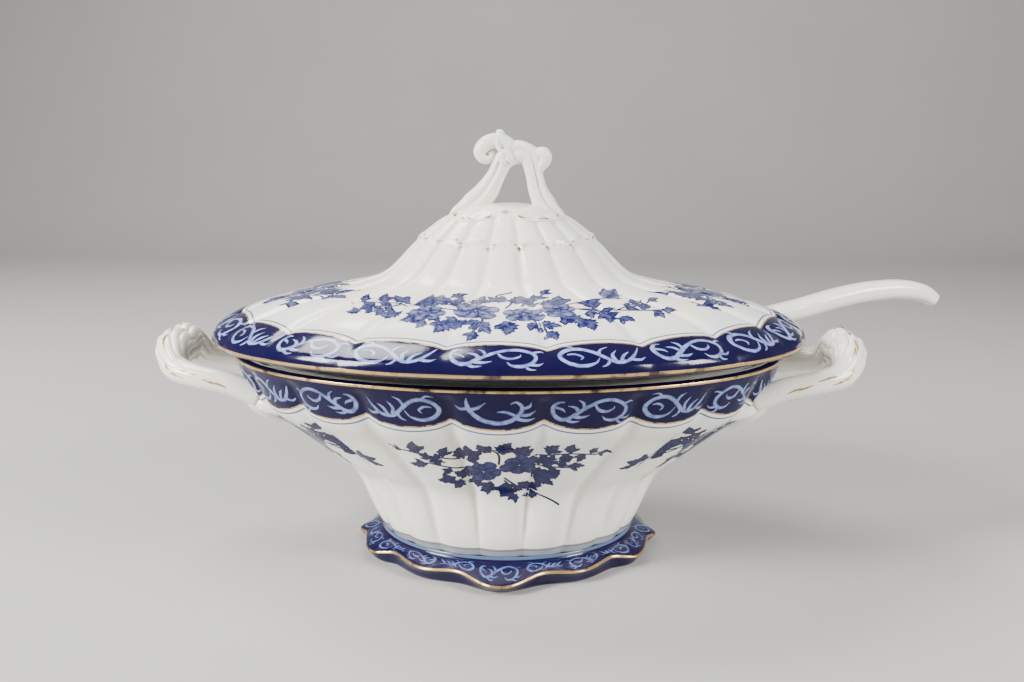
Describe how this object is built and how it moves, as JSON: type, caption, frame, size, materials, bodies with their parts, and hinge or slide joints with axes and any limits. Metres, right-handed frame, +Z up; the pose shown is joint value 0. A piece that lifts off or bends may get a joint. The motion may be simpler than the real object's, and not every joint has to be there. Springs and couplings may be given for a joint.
{
  "type": "soup tureen",
  "caption": "Footed oval soup tureen in white glazed earthenware with dark blue printed bands and flower sprays, two loop handles, a lift-off lid with an arched finial, and a ladle.",
  "frame": {"origin": "on the table under the middle of the foot", "axes": "+X along the tureen towards the end where the ladle's handle leaves, -Y the front, +Z up"},
  "size_m": [0.4128, 0.2086, 0.2084],
  "materials": {
    "printed_glaze": "glossy white glaze over dark blue printed bands and sprays, with worn gilt lines",
    "cobalt_glaze": "glossy dark blue printed glaze with pale blue scrolls and a worn gilt edge",
    "white_glaze": "glossy white glaze with a few worn gilt touches"
  },
  "bodies": {
    "tureen": {"tureen_bowl": "printed_glaze", "pedestal_foot": "cobalt_glaze", "left_handle": "white_glaze", "right_handle": "white_glaze"},
    "lid": {"lid_shell": "printed_glaze", "lid_locating_flange": "white_glaze", "lid_finial": "white_glaze"},
    "ladle": {"ladle_bowl": "white_glaze", "ladle_handle": "white_glaze"}
  },
  "joints": [
    {"name": "lid_lift", "type": "slide", "parent": "tureen", "child": "lid", "axis": [0, 0, 1], "range_m": [0, 0.2]},
    {"name": "ladle_lift", "type": "slide", "parent": "tureen", "child": "ladle", "axis": [0, 0, 1], "range_m": [0, 0.11]}
  ],
  "couplings": [
    {"joint": "ladle_lift", "follows": "lid_lift", "ratio": 0.55}
  ]
}
